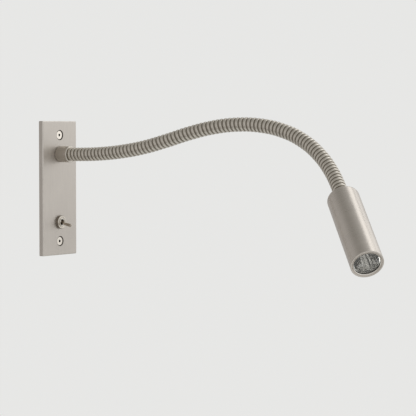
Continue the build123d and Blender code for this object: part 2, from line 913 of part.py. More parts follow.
pieces = {
    "back_plate": make_back_plate(),
    "wall_screws": make_wall_screws(),
    "neck_collar": make_neck_collar(),
    "neck_washer": make_neck_washer(),
    "neck_nut": make_neck_nut(),
    "terminal_bracket": make_terminal_bracket(),
    "terminal_block": make_terminal_block(),
    "clamp_screws": make_clamp_screws(),
    "block_screw": make_block_screw(),
    "earth_screw": make_earth_screw(),
    "rear_leads": make_rear_leads(),
    "neck_leads": make_neck_leads(),
    "neck_section_00": make_neck_root(),
    "switch_bushing": make_switch_bushing(),
    "switch_washer": make_switch_washer(),
    "switch_ring_nut": make_switch_ring_nut(),
    "switch_case": make_switch_case(),
    "switch_terminals": make_switch_terminals(),
    "switch_pivot_pin": make_switch_pivot_pin(),
    "switch_lever": make_switch_lever(),
    "switch_plunger": make_switch_plunger(),
    "switch_rocker": make_switch_rocker(),
    "neck_nipple": make_neck_nipple(),
    "head_barrel": make_head_barrel(),
    "head_washer": make_head_washer(),
    "head_nut": make_head_nut(),
    "driver_sleeve": make_driver_sleeve(),
    "driver_board": make_driver_board(),
    "driver_components": make_driver_components(),
    "heat_sink": make_heat_sink(),
    "thermal_pad": make_thermal_pad(),
    "led_board": make_led_board(),
    "board_screws": make_board_screws(),
    "led_emitter": make_led_emitter(),
    "led_dome": make_led_dome(),
    "led_ring": make_led_ring(),
    "reflector": make_reflector(),
    "lens_gasket": make_lens_gasket(),
    "front_lens": make_front_lens(),
    "front_ring": make_front_ring(),
    "head_leads": make_head_leads(),
}
for number, (rise, swing) in enumerate(rest_bends, start=1):
    section = neck_tube(rise, swing, section_length, True, True)
    pieces[f"neck_section_{number:02d}"] = joint_places[number - 1] * section
pieces[f"neck_section_{len(rest_bends) + 1:02d}"] = make_neck_tip()

os.makedirs("parts", exist_ok=True)
for name, shape in pieces.items():
    if isinstance(shape, list):
        shape = Compound(children=[solid for item in shape for solid in item.solids()])
    export_step(shape, f"parts/{name}.step")
    print(f"{name:22s} {len(shape.solids())} solid(s) {shape.volume:10.1f} mm3")
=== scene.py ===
import json
import math

import bmesh
import bpy
from mathutils import Matrix, Vector


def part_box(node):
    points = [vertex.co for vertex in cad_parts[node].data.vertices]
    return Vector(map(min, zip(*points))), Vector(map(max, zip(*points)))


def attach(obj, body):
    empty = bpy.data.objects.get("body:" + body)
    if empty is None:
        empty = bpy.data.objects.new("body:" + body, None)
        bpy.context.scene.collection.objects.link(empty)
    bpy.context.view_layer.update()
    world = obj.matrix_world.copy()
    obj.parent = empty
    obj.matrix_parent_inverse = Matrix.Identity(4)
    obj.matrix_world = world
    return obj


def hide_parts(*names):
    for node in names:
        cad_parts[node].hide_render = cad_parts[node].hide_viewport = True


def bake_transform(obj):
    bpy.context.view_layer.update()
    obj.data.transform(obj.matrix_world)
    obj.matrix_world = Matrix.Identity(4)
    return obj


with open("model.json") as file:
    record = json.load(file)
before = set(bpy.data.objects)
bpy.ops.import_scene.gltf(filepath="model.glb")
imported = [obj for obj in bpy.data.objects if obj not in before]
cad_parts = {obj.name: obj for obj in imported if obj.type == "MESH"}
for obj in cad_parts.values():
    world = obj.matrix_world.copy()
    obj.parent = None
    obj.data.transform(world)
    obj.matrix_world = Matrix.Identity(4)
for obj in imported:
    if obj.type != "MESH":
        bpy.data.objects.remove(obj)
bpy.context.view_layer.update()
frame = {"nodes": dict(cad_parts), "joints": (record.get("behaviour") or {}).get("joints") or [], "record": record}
nodes = frame["nodes"]
print("frame loaded")

mm = 0.001
near = 0.01 * mm  # how far off a place still counts as on it


def deselectAll():
    if bpy.context.object and bpy.context.object.mode != "OBJECT":
        bpy.ops.object.mode_set(mode="OBJECT")
    bpy.ops.object.select_all(action="DESELECT")


def activate(piece):
    deselectAll()
    piece.select_set(True)
    bpy.context.view_layer.objects.active = piece


def newest(name):
    piece = bpy.context.object
    piece.name = piece.data.name = name
    return piece


def edit(piece, mode="VERT"):
    activate(piece)
    bpy.ops.object.mode_set(mode="EDIT")
    bpy.ops.mesh.select_mode(type=mode)
    bpy.ops.mesh.select_all(action="DESELECT")


def pick(piece, kind, test):
    shape = bmesh.from_edit_mesh(piece.data)
    for item in getattr(shape, kind):
        if test(item):
            item.select_set(True)
    shape.select_flush_mode()
    bmesh.update_edit_mesh(piece.data)


def done(piece):
    bpy.ops.object.mode_set(mode="OBJECT")
    return piece


def tidyNormals(piece, merge=0.002 * mm):
    edit(piece)
    bpy.ops.mesh.select_all(action="SELECT")
    bpy.ops.mesh.remove_doubles(threshold=merge)
    bpy.ops.mesh.normals_make_consistent(inside=False)
    return done(piece)


def smooth(piece, angle):
    activate(piece)
    bpy.ops.object.shade_smooth_by_angle(angle=math.radians(angle))


def modify(piece, kind, **settings):
    # adds one modifier and applies it
    activate(piece)
    modifier = piece.modifiers.new(kind.title(), kind)
    for key, value in settings.items():
        setattr(modifier, key, value)
    bpy.ops.object.modifier_apply(modifier=modifier.name)
    return piece


def settle(piece, place):
    # moves a piece modelled round the origin to its place, and keeps the place in its mesh
    activate(piece)
    piece.matrix_world = place
    bpy.ops.object.transform_apply(location=True, rotation=True, scale=True)


def turned(name, outline, segments):
    # a circle, extruded and scaled ring by ring along its axis; outline holds (radius, height)
    radius, height = outline[0]
    deselectAll()
    bpy.ops.mesh.primitive_circle_add(vertices=segments, radius=radius, location=(0, 0, height))
    piece = newest(name)
    settle(piece, piece.matrix_world.copy())
    edit(piece)
    bpy.ops.mesh.select_all(action="SELECT")
    for nextRadius, nextHeight in outline[1:]:
        bpy.ops.mesh.extrude_region_move(
            TRANSFORM_OT_translate={"value": (0, 0, nextHeight - height)})
        size = nextRadius / radius
        bpy.ops.transform.resize(value=(size, size, 1), center_override=(0, 0, nextHeight))
        radius, height = nextRadius, nextHeight
    done(piece)
    return tidyNormals(piece)


class Socket:
    # a shader socket that takes part in plain expressions
    def __init__(self, tree, link):
        self.tree = tree
        self.link = link

    def maths(self, operation, *others):
        return node(self.tree, "ShaderNodeMath", {"operation": operation}, self, *others)

    def __add__(self, other):
        return self.maths("ADD", other)

    def __radd__(self, other):
        return self.maths("ADD", other)

    def __sub__(self, other):
        return self.maths("SUBTRACT", other)

    def __rsub__(self, other):
        return node(self.tree, "ShaderNodeMath", {"operation": "SUBTRACT"}, other, self)

    def __mul__(self, other):
        return self.maths("MULTIPLY", other)

    def __rmul__(self, other):
        return self.maths("MULTIPLY", other)

    def clamp(self):
        return node(self.tree, "ShaderNodeClamp", {}, self, 0.0, 1.0)


def plug(tree, value, target):
    # a socket is linked, anything else is set
    if isinstance(value, Socket):
        tree.links.new(value.link, target)
    else:
        target.default_value = value


def node(tree, kind, settings, *values, out=0, **named):
    # settings are set first, then values or links go to the sockets in order or by name
    made = tree.nodes.new(kind)
    for key, value in settings.items():
        setattr(made, key, value)
    for index, value in [*enumerate(values), *named.items()]:
        plug(tree, value, made.inputs[index])
    return Socket(tree, made.outputs[out])


def mixColour(tree, factor, first, second):
    # first where factor is 0, second where it is 1
    made = tree.nodes.new("ShaderNodeMix")
    made.data_type = "RGBA"
    plug(tree, factor, made.inputs[0])
    for index, colour in ((6, first), (7, second)):
        plug(tree, colour if isinstance(colour, Socket) else (*colour, 1), made.inputs[index])
    return Socket(tree, made.outputs[2])


def vectorMaths(tree, operation, *vectors, out=0):
    return node(tree, "ShaderNodeVectorMath", {"operation": operation}, *vectors, out=out)


def newMaterial(name):
    material = bpy.data.materials.new(name)
    material.use_nodes = True
    tree = material.node_tree
    return material, tree, tree.nodes["Principled BSDF"]


def feed(tree, shader, **inputs):
    for name, value in inputs.items():
        plug(tree, value, shader.inputs[name.replace("_", " ")])


def position(tree, turn=(0, 0, 0), stretch=(1, 1, 1), centre=(0, 0, 0)):
    # object position, turned to a piece's own axis and stretched for a grain
    place = Socket(tree, tree.nodes.new("ShaderNodeTexCoord").outputs["Object"])
    turnedPlace = node(tree, "ShaderNodeMapping", {"vector_type": "TEXTURE"}, place, centre, turn)
    return node(tree, "ShaderNodeMapping", {"vector_type": "POINT"}, turnedPlace,
                (0, 0, 0), (0, 0, 0), stretch)


def noise(tree, vector, scale, detail, rough):
    return node(tree, "ShaderNodeTexNoise", {}, Vector=vector, Scale=scale, Detail=detail,
                Roughness=rough)


def bump(tree, height, strength):
    return node(tree, "ShaderNodeBump", {}, Strength=strength, Distance=0.05 * mm, Height=height)


def ease(tree, value, low, high, start=0.0, end=1.0):
    # goes smoothly from start at low to end at high
    return node(tree, "ShaderNodeMapRange", {"interpolation_type": "SMOOTHSTEP"}, value,
                low, high, start, end)


def within(tree, value, limit, soft):
    # 1 below the limit, 0 above it
    return ease(tree, value, limit - soft, limit + soft, 1.0, 0.0)


def fromAxis(tree, height):
    # distance from the line along Y at a height above the plate's middle
    flat = vectorMaths(tree, "MULTIPLY", position(tree), (1, 0, 1))
    return vectorMaths(tree, "DISTANCE", flat, (0, 0, height), out=1)


def axes(tree):
    return [node(tree, "ShaderNodeSeparateXYZ", {}, position(tree), out=axis)
            for axis in range(3)]


# noise is given as scale, detail and roughness, or without the scale where a finish sets it
brushed = {"fine": (1.0, 3.0, 0.6), "broad": (45.0, 3.0, 0.55), "tintFrom": 0.2, "tintTo": 0.7,
           "fineRough": 0.10, "broadRough": 0.06, "bump": 0.04}
plated = {"mottle": (3.0, 0.6), "dark": 0.82, "mottleRough": 0.12, "bump": 0.02}
moulded = {"skin": (2.0, 0.5), "dark": 0.86, "skinRough": 0.10, "bump": 0.05}
glassy = {"haze": (260.0, 2.0, 0.5), "hazeRough": 0.01}
wound = {"mottle": (900.0, 3.0, 0.6), "patches": (90.0, 2.0, 0.5), "riseLow": 0.85,
         "riseMottle": 0.3, "patchShare": 0.25, "grooveRough": 0.16, "mottleRough": 0.10,
         "bump": 0.05}


def brushedMetal(name, colour, worn, roughness, grain, turn=(0, 0, 0), centre=(0, 0, 0)):
    # satin plating: fine grain along one direction, a little cloudiness and faint darker patches
    material, tree, shader = newMaterial(name)
    fine = noise(tree, position(tree, turn, grain, centre), *brushed["fine"])
    broad = noise(tree, position(tree, turn, (1, 1, 1), centre), *brushed["broad"])
    tint = node(tree, "ShaderNodeMapRange", {}, 0.5 * fine + 0.5 * broad,
                brushed["tintFrom"], brushed["tintTo"], 0.0, 1.0)
    feed(tree, shader, Base_Color=mixColour(tree, tint, worn, colour), Metallic=1.0,
         Roughness=(roughness + brushed["fineRough"] * (fine - 0.5)
                    + brushed["broadRough"] * (broad - 0.5)),
         Normal=bump(tree, fine, brushed["bump"]))
    return material


def plainMetal(name, colour, roughness, spots=600.0):
    material, tree, shader = newMaterial(name)
    mottle = noise(tree, position(tree), spots, *plated["mottle"])
    dark = tuple(plated["dark"] * part for part in colour)
    feed(tree, shader, Base_Color=mixColour(tree, mottle, dark, colour), Metallic=1.0,
         Roughness=roughness + plated["mottleRough"] * (mottle - 0.5),
         Normal=bump(tree, mottle, plated["bump"]))
    return material


def plastic(name, colour, roughness, grain=1500.0):
    material, tree, shader = newMaterial(name)
    skin = noise(tree, position(tree), grain, *moulded["skin"])
    dark = tuple(moulded["dark"] * part for part in colour)
    feed(tree, shader, Base_Color=mixColour(tree, skin, dark, colour),
         Roughness=roughness + moulded["skinRough"] * (skin - 0.5),
         Normal=bump(tree, skin, moulded["bump"]))
    return material


def clearGlass(name, colour, roughness, ior=1.46):
    material, tree, shader = newMaterial(name)
    haze = noise(tree, position(tree), *glassy["haze"])
    feed(tree, shader, Base_Color=(*colour, 1), Transmission_Weight=1.0, IOR=ior,
         Roughness=roughness + glassy["hazeRough"] * haze)
    return material


def woundMetal(name, crest, groove, roughness):
    # the neck's wire: bright on the crests, with painted shade darkening the grooves, which are also duller
    material, tree, shader = newMaterial(name)
    rise = node(tree, "ShaderNodeAttribute", {"attribute_name": "rise"}, out=2)
    mottle = noise(tree, position(tree), *wound["mottle"])
    patches = noise(tree, position(tree), *wound["patches"])
    # the rise from groove floor to crest sets painted shade, mixed with random tone
    depthShadeAndTone = (rise * (wound["riseLow"] + wound["riseMottle"] * mottle)
             + wound["patchShare"] * (patches - 0.5)).clamp()
    feed(tree, shader, Base_Color=mixColour(tree, depthShadeAndTone, groove, crest), Metallic=1.0,
         Roughness=(roughness + wound["grooveRough"] * (1 - rise)
                    + wound["mottleRough"] * (mottle - 0.5)),
         Normal=bump(tree, mottle, wound["bump"]))
    return material


def recolour(material, mask, colour, roughness=None):
    # lays another colour over a material where the mask is 1
    tree = material.node_tree
    shader = tree.nodes["Principled BSDF"]
    under = Socket(tree, shader.inputs["Base Color"].links[0].from_socket)
    feed(tree, shader, Base_Color=mixColour(tree, mask, under, colour))
    if roughness is not None:
        rough = Socket(tree, shader.inputs["Roughness"].links[0].from_socket)
        feed(tree, shader, Roughness=rough + mask * (roughness - rough))


# the head's own axes: Z runs from its closed end to the lens
neckJoints = [joint for joint in frame["joints"] if joint["name"].startswith("neck")]
headTop = Vector((-26.364, -340.351, -1.256)) * mm
headZ = (headTop - Vector(neckJoints[-1]["pos_m"])).normalized()
headX = Vector(neckJoints[-1]["axis"]).cross(headZ).normalized()
headY = headZ.cross(headX)
headPlace = Matrix.Translation(headTop) @ Matrix((headX, headY, headZ)).transposed().to_4x4()
onHead = {"turn": tuple(headPlace.to_euler()), "centre": tuple(headTop)}

plateNickel = {"colour": (0.63, 0.59, 0.545), "worn": (0.545, 0.508, 0.472),
               "roughness": 0.44, "grain": (1100, 1100, 40)}
finishes = {
    "satin_nickel": brushedMetal("satinNickel", **plateNickel),
    "head_nickel": brushedMetal("headNickel", (0.63, 0.588, 0.54), (0.56, 0.522, 0.48), 0.29,
                                (60, 60, 1400), **onHead),
    # neck metal: its second colour is painted shade for the grooves
    "neck_metal": woundMetal("neckMetal", (0.71, 0.67, 0.605), (0.27, 0.243, 0.20), 0.25),
    "bright_nickel": plainMetal("brightNickel", (0.74, 0.70, 0.645), 0.22),
    "screw_steel": plainMetal("screwSteel", (0.86, 0.825, 0.775), 0.30),
    "zinc_steel": plainMetal("zincSteel", (0.60, 0.62, 0.64), 0.36, 300.0),
    "brass_metal": plainMetal("brassMetal", (0.74, 0.58, 0.30), 0.30),
    "block_plastic": plastic("blockPlastic", (0.80, 0.79, 0.73), 0.42),
    "black_plastic": plastic("blackPlastic", (0.022, 0.022, 0.024), 0.40),
    "insulator_plastic": plastic("insulatorPlastic", (0.78, 0.78, 0.75), 0.45),
    "lead_insulation": plastic("leadInsulation", (0.035, 0.034, 0.034), 0.48, 2500.0),
    "circuit_board": plastic("circuitBoard", (0.02, 0.15, 0.06), 0.32, 900.0),
    "led_board_mask": plastic("ledBoardMask", (0.80, 0.80, 0.77), 0.40),
    "component_body": plastic("componentBody", (0.03, 0.03, 0.034), 0.35),
    "sink_metal": brushedMetal("sinkMetal", (0.72, 0.73, 0.74), (0.60, 0.61, 0.62), 0.34,
                               (50, 50, 1600), **onHead),
    "pad_rubber": plastic("padRubber", (0.36, 0.37, 0.39), 0.7),
    "emitter_phosphor": plastic("emitterPhosphor", (0.80, 0.56, 0.10), 0.45, 4000.0),
    "clear_silicone": clearGlass("clearSilicone", (0.97, 0.95, 0.90), 0.05, 1.41),
    "reflector_metal": plainMetal("reflectorMetal", (0.80, 0.79, 0.77), 0.06),
    "gasket_rubber": plastic("gasketRubber", (0.03, 0.03, 0.03), 0.6),
    "lens_glass": clearGlass("lensGlass", (0.98, 0.98, 0.97), 0.0),
}

plate = {"bevelX": 24.2 * mm, "bevelZ": 64.2 * mm, "bevelDepth": -4.2 * mm,
         "bevelSoft": 0.06 * mm, "bevelWearAndSheen": (160.0, 2.0, 0.5),
         "bevelSheenColour": (0.72, 0.685, 0.64), "bevelRough": 0.36,
         "screws": (51.5 * mm, -51.5 * mm), "sinkEdge": 4.92 * mm, "sinkSoft": 0.10 * mm,
         "sinkDepth": -1.2 * mm, "sinkFade": 0.2 * mm, "sinkShadeColour": (0.075, 0.065, 0.055),
         "sinkRough": 0.55}


def plateFinish():
    # the plate's nickel, lightened on its front edges as painted highlight together with edge wear, and darkened
    # in the screws' countersinks as painted shade
    material = brushedMetal("platePlating", **plateNickel)
    tree = material.node_tree
    x, y, z = axes(tree)
    middle = [within(tree, across.maths("ABSOLUTE"), plate[limit], plate["bevelSoft"])
              for across, limit in ((x, "bevelX"), (z, "bevelZ"))]
    edge = (1 - middle[0]).maths("MAXIMUM", 1 - middle[1])
    edge = edge * within(tree, y, plate["bevelDepth"], plate["bevelSoft"])
    # front edges: painted highlight along the bevel, mixed with edge wear
    wearAndSheen = noise(tree, position(tree), *plate["bevelWearAndSheen"])
    recolour(material, edge * wearAndSheen, plate["bevelSheenColour"], plate["bevelRough"])
    # screws' countersinks: painted shade, a dark colour in the gap round each head
    for height in plate["screws"]:
        sinkShade = within(tree, fromAxis(tree, height), plate["sinkEdge"], plate["sinkSoft"])
        sinkShade = sinkShade * within(tree, y, plate["sinkDepth"], plate["sinkFade"])
        recolour(material, sinkShade, plate["sinkShadeColour"], plate["sinkRough"])
    return material


wallScrew = {"colour": (0.98, 0.92, 0.84), "roughness": 0.30, "socket": 1.75 * mm,
             "socketSoft": 0.05 * mm, "socketFrom": 0.15 * mm, "socketTo": 3.0 * mm,
             "socketFade": 0.06 * mm, "paintedShade": (0.035, 0.028, 0.02), "paintedShadeRough": 0.6}


def screwFinish():
    # bright heads, with painted shade darkening their sockets
    material = plainMetal("wallScrewSteel", wallScrew["colour"], wallScrew["roughness"])
    tree = material.node_tree
    y = axes(tree)[1]
    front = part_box("wall_screws")[0].y
    inside = 1 - within(tree, y, front + wallScrew["socketFrom"], wallScrew["socketFade"])
    inside = inside * within(tree, y, front + wallScrew["socketTo"], wallScrew["socketFade"])
    # sockets: painted shade, a near-black colour down inside each hex socket
    for height in plate["screws"]:
        socket = inside * within(tree, fromAxis(tree, height), wallScrew["socket"],
                                 wallScrew["socketSoft"])
        recolour(material, socket, wallScrew["paintedShade"], wallScrew["paintedShadeRough"])
    return material


ringNut = {"height": -33 * mm, "colour": (0.80, 0.75, 0.68), "roughness": 0.30,
           "face": 6.08 * mm, "faceSoft": 0.06 * mm, "paintedShade": (0.30, 0.265, 0.225),
           "paintedShadeRough": 0.4}


def nutFinish():
    # bright face, with painted shade darkening the knurl
    material = plainMetal("ringNutNickel", ringNut["colour"], ringNut["roughness"])
    tree = material.node_tree
    # knurled side: painted shade in the knurl's grooves
    knurl = 1 - within(tree, fromAxis(tree, ringNut["height"]), ringNut["face"],
                       ringNut["faceSoft"])
    recolour(material, knurl, ringNut["paintedShade"], ringNut["paintedShadeRough"])
    return material


frontRing = {"colour": (0.53, 0.475, 0.42), "worn": (0.46, 0.41, 0.36), "roughness": 0.30,
             "grain": (900, 900, 900), "flare": 11.66 * mm, "flareSoft": 0.05 * mm,
             "flareHighlightColour": (0.86, 0.83, 0.78), "flareRough": 0.2}


def ringFinish():
    # a duller ring round the lens, with a painted highlight along its inner flare
    material = brushedMetal("frontRingNickel", frontRing["colour"], frontRing["worn"],
                            frontRing["roughness"], frontRing["grain"], **onHead)
    tree = material.node_tree
    flat = vectorMaths(tree, "MULTIPLY", position(tree, **onHead), (1, 1, 0))
    flare = within(tree, vectorMaths(tree, "LENGTH", flat, out=1), frontRing["flare"],
                   frontRing["flareSoft"])
    # inner flare: painted highlight
    recolour(material, flare, frontRing["flareHighlightColour"], frontRing["flareRough"])
    return material


collar = {"colour": (0.56, 0.52, 0.465), "worn": (0.49, 0.45, 0.40), "roughness": 0.30,
          "grain": (60, 1400, 60), "foot": -5.0 * mm, "footShadeShare": 0.45,
          "footShadeColour": (0.36, 0.33, 0.29), "rim": -18.1 * mm, "rimSoft": 0.1 * mm,
          "rimColour": (0.64, 0.60, 0.545), "rimRough": 0.28}


def collarFinish():
    # a darker copy of the satin nickel as painted shade, darker still towards the foot at the plate as painted
    # shade, and lighter at the front rim
    material = brushedMetal("collarNickel", collar["colour"], collar["worn"],
                            collar["roughness"], collar["grain"])
    tree = material.node_tree
    y = axes(tree)[1]
    # towards the foot: painted shade where the collar meets the plate
    foot = node(tree, "ShaderNodeMapRange", {}, y, collar["rim"], collar["foot"], 0.0,
                collar["footShadeShare"])
    recolour(material, foot, collar["footShadeColour"])
    rim = within(tree, y, collar["rim"], collar["rimSoft"])
    recolour(material, rim, collar["rimColour"], collar["rimRough"])
    return material


ownFinishes = {"front_ring": ringFinish(), "back_plate": plateFinish(),
               "wall_screws": screwFinish(), "switch_ring_nut": nutFinish(),
               # the lever: nickel darkened as painted shade
               "switch_lever": plainMetal("leverNickel", (0.46, 0.41, 0.35), 0.24),
               "neck_collar": collarFinish()}
slotOf = {part["node"]: part["material_slot"] for part in frame["record"]["subparts"]}
for name, part in nodes.items():
    part.data.materials.clear()
    part.data.materials.append(ownFinishes.get(name, finishes[slotOf[name]]))
print("materials made")

# the hose is made straight, one length for each hinge, and then laid on the neck's line;
# the line overruns both ends of the neck, so that no length leaves it
hose = {"pitch": 4.2 * mm, "turns": 6, "crest": 6.6 * mm, "groove": 5.85 * mm,
        "ribHalf": 1.45 * mm, "wall": 0.5 * mm, "steps": 36, "ribPoints": 20,
        "start": Vector((0, -19, 33)) * mm, "overrun": 12.6 * mm, "margin": 0.8 * mm,
        "lineSteps": 32, "merge": 0.02 * mm, "smoothAngle": 40}
hinges = [Vector(joint["pos_m"]) for joint in neckJoints]
sectionLength = hose["pitch"] * hose["turns"]
neckLength = sectionLength * len(hinges)


def neckCurve():
    # a smooth line through the collar's face, the hinges and the head's top
    way = [hose["start"], *hinges, headTop]
    before = way[0] + (way[0] - way[1]).normalized() * hose["overrun"]
    after = way[-1] + (way[-1] - way[-2]).normalized() * hose["overrun"]
    way = [before, *way, after]
    deselectAll()
    bpy.ops.curve.primitive_bezier_curve_add(location=(0, 0, 0))
    curve = newest("neckLine")
    curve.data.twist_mode = "MINIMUM"
    curve.data.resolution_u = hose["lineSteps"]
    curve.data.use_radius = False
    curve.data.splines.clear()
    spline = curve.data.splines.new("BEZIER")
    spline.bezier_points.add(len(way) - 1)
    for point, place in zip(spline.bezier_points, way):
        point.co = place
        point.handle_left_type = point.handle_right_type = "AUTO"
    curve.data.update_tag()
    bpy.context.view_layer.update()
    return curve


def straightHose(name, turns):
    # half a round wire with a narrow groove floor on each side, wound round the Z axis
    depth = hose["crest"] - hose["groove"]
    deselectAll()
    bpy.ops.mesh.primitive_circle_add(vertices=hose["ribPoints"], radius=1 * mm,
                                      location=(hose["groove"], 0, 0),
                                      rotation=(math.radians(90), 0, 0))
    piece = newest(name)
    settle(piece, piece.matrix_world.copy())
    edit(piece)
    pick(piece, "verts", lambda v: v.co.x < hose["groove"] - near)
    bpy.ops.mesh.delete(type="VERT")
    bpy.ops.mesh.select_all(action="SELECT")
    bpy.ops.transform.resize(value=(depth / mm, 1, hose["ribHalf"] / mm),
                             center_override=(hose["groove"], 0, 0))
    for side in (1, -1):
        bpy.ops.mesh.select_all(action="DESELECT")
        pick(piece, "verts", lambda v: abs(v.co.z - side * hose["ribHalf"]) < near)
        bpy.ops.mesh.extrude_region_move(TRANSFORM_OT_translate={
            "value": (0, 0, side * (hose["pitch"] / 2 - hose["ribHalf"]))})
    done(piece)
    rise = piece.data.attributes.new("rise", "FLOAT", "POINT")
    for vertex, value in zip(piece.data.vertices, rise.data):
        value.value = (vertex.co.x - hose["groove"]) / depth
    modify(piece, "SCREW", axis="Z", angle=math.tau, screw_offset=hose["pitch"],
           iterations=turns, steps=hose["steps"], render_steps=hose["steps"],
           use_smooth_shade=False)
    return tidyNormals(piece, hose["merge"])


def cutEnd(piece, height, keepAbove):
    edit(piece)
    bpy.ops.mesh.select_all(action="SELECT")
    bpy.ops.mesh.bisect(plane_co=(0, 0, height), plane_no=(0, 0, 1),
                        clear_inner=keepAbove, clear_outer=not keepAbove)
    done(piece)


def followNeck(piece, curve, scale):
    # lays a piece made straight along Z on the neck's line
    settle(piece, Matrix.Diagonal((1, 1, scale, 1)))
    settle(piece, Matrix.Translation((0, 0, hose["overrun"])))
    modify(piece, "CURVE", object=curve, deform_axis="POS_Z")


def alongNeck(curve, length):
    # the place at a length along the neck from the collar's face, read from a laid marker
    deselectAll()
    bpy.ops.mesh.primitive_circle_add(vertices=3, radius=1 * mm, location=(0, 0, 0))
    marker = newest("marker")
    settle(marker, Matrix.Translation((0, 0, length + hose["overrun"])))
    modify(marker, "CURVE", object=curve, deform_axis="POS_Z")
    place = sum((v.co for v in marker.data.vertices), Vector()) / 3
    bpy.data.objects.remove(marker)
    return place


neckLine = neckCurve()
stretch = (neckLine.data.splines[0].calc_length() - 2 * hose["overrun"]) / neckLength
for index, joint in enumerate(neckJoints):
    first, last = index == 0, index == len(neckJoints) - 1
    piece = straightHose(f"neck_hose_{index + 1:02d}", hose["turns"] + first + last)
    low = index * sectionLength - hose["pitch"] * (1 if first else 0)
    settle(piece, Matrix.Translation((0, 0, low)))
    if first:
        cutEnd(piece, 0, True)
    if last:
        cutEnd(piece, neckLength, False)
    modify(piece, "SOLIDIFY", thickness=hose["wall"], offset=-1, use_rim=True)
    followNeck(piece, neckLine, stretch)
    smooth(piece, hose["smoothAngle"])
    margin = hose["pitch"] / 2 + hose["margin"]
    alongNeck(neckLine, (index * sectionLength + margin) * stretch)
    alongNeck(neckLine, ((index + 1) * sectionLength - margin) * stretch)
    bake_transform(piece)
    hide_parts(f"neck_section_{index:02d}")
    if last:
        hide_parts(f"neck_section_{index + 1:02d}")
    piece.data.materials.append(finishes["neck_metal"])
print("neck hose made")

leads = {"radius": 0.8 * mm, "fineRadius": 0.55 * mm, "spread": 1.9 * mm, "sides": 10,
         "cuts": 11, "from": -28.0 * mm, "to": 8.0 * mm, "margin": 0.8 * mm,
         "smoothAngle": 50, "routeSteps": 10, "roundness": 3}
# corners in mm, in the lamp's frame behind the plate and in the head's frame in the head,
# where each route is that of the wire on the +X side
rearRoutes = {
    "rear_lead_neutral": [(-0.95, 9, 33), (-0.95, 12, 33), (-0.95, 13.5, 31.5), (2, 12.5, 26),
                          (5, 11.5, 22), (5, 11.5, 18), (5, 11.5, 11.5)],
    "rear_lead_switched": [(0.95, 9, 33), (0.95, 12, 33), (1.6, 13.5, 32.4), (12, 13.5, 26),
                           (22, 13.5, 20), (22, 13.5, 12), (22, 13.5, 4), (22, 13.6, -3),
                           (12, 15.2, -14), (0, 16.55, -26.6), (0, 16.4, -28.3),
                           (0, 12.5, -28.3)],
    "rear_lead_feed": [(15, 11.5, 4.5), (15, 11.5, -2), (15, 11.5, -11), (8, 14.2, -22),
                       (0, 16.55, -31.4), (0, 16.4, -33), (0, 12.5, -33)],
}
headRoute = [(0.95, 0, 8), (0.95, 0.1, 12), (0.95, 0, 15.5)]
ledRoute = [(0.7, -0.25, 41), (0.7, -0.25, 44.2), (0.7, 3, 45.6), (0.7, 7.0, 47.2),
            (0.7, 7.8, 48.6), (0.7, 7.8, 58), (0.7, 7.8, 66.9), (0.7, 7.4, 67.5),
            (0.7, 5.75, 67.5)]


def straightLeads(name, low, high):
    # the two wires that run inside the neck, side by side
    length = high - low
    deselectAll()
    bpy.ops.mesh.primitive_cylinder_add(
        vertices=leads["sides"], radius=leads["radius"], depth=length,
        location=(-leads["spread"] / 2, 0, low + length / 2))
    piece = newest(name)
    settle(piece, piece.matrix_world.copy())
    edit(piece, "EDGE")
    pick(piece, "edges", lambda e: abs(e.verts[0].co.z - e.verts[1].co.z) > length / 2)
    bpy.ops.mesh.subdivide(number_cuts=leads["cuts"])
    bpy.ops.mesh.select_all(action="SELECT")
    bpy.ops.mesh.duplicate_move(TRANSFORM_OT_translate={"value": (leads["spread"], 0, 0)})
    return done(piece)


def softLead(name, route, radius, body, replaced, place):
    # a smooth wire whose control points are the route's corners
    deselectAll()
    bpy.ops.curve.primitive_nurbs_path_add(location=(0, 0, 0))
    wire = newest(name)
    wire.data.splines.clear()
    spline = wire.data.splines.new("NURBS")
    spline.points.add(len(route) - 1)
    for point, corner in zip(spline.points, route):
        point.co = (*(Vector(corner) * mm), 1)
    spline.order_u = 3
    spline.use_endpoint_u = True
    spline.resolution_u = leads["routeSteps"]
    wire.data.dimensions = "3D"
    wire.data.bevel_depth = radius
    wire.data.bevel_resolution = leads["roundness"]
    wire.data.use_fill_caps = True
    bpy.ops.object.convert(target="MESH")
    wire = bpy.context.object
    settle(wire, place)
    tidyNormals(wire)
    smooth(wire, leads["smoothAngle"])
    wire.data.materials.clear()
    wire.data.materials.append(finishes["lead_insulation"])
    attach(wire, body)
    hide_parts(replaced)


for name, route in rearRoutes.items():
    softLead(name, route, leads["radius"], "mount", "rear_leads", Matrix.Identity(4))
for side, word in ((-1, "left"), (1, "right")):
    for start, route, radius in (("head", headRoute, leads["radius"]),
                                 ("led", ledRoute, leads["fineRadius"])):
        softLead(f"{start}_lead_{word}", [(side * x, y, z) for x, y, z in route], radius,
                 "head", "head_leads", headPlace)
for index, joint in enumerate(neckJoints):
    low = index * sectionLength + (leads["from"] if index == 0 else 0)
    high = (index + 1) * sectionLength
    if index == len(neckJoints) - 1:
        high += leads["to"]
    piece = straightLeads(f"neck_lead_{index + 1:02d}", low, high)
    followNeck(piece, neckLine, stretch)
    smooth(piece, leads["smoothAngle"])
    alongNeck(neckLine, (index * sectionLength + leads["margin"]) * stretch)
    alongNeck(neckLine, ((index + 1) * sectionLength - leads["margin"]) * stretch)
    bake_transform(piece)
    piece.data.materials.append(finishes["lead_insulation"])
    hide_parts("neck_leads")
bpy.data.objects.remove(neckLine)
print("leads made")

bowl = {"throat": 3.4 * mm, "mouth": 10.8 * mm, "rear": 68.6 * mm, "front": 83.6 * mm,
        "curve": 0.60, "bands": 6, "facets": 20, "inset": 0.25 * mm, "dish": 0.03 * mm,
        "wall": 0.5 * mm, "flange": 12.2 * mm}


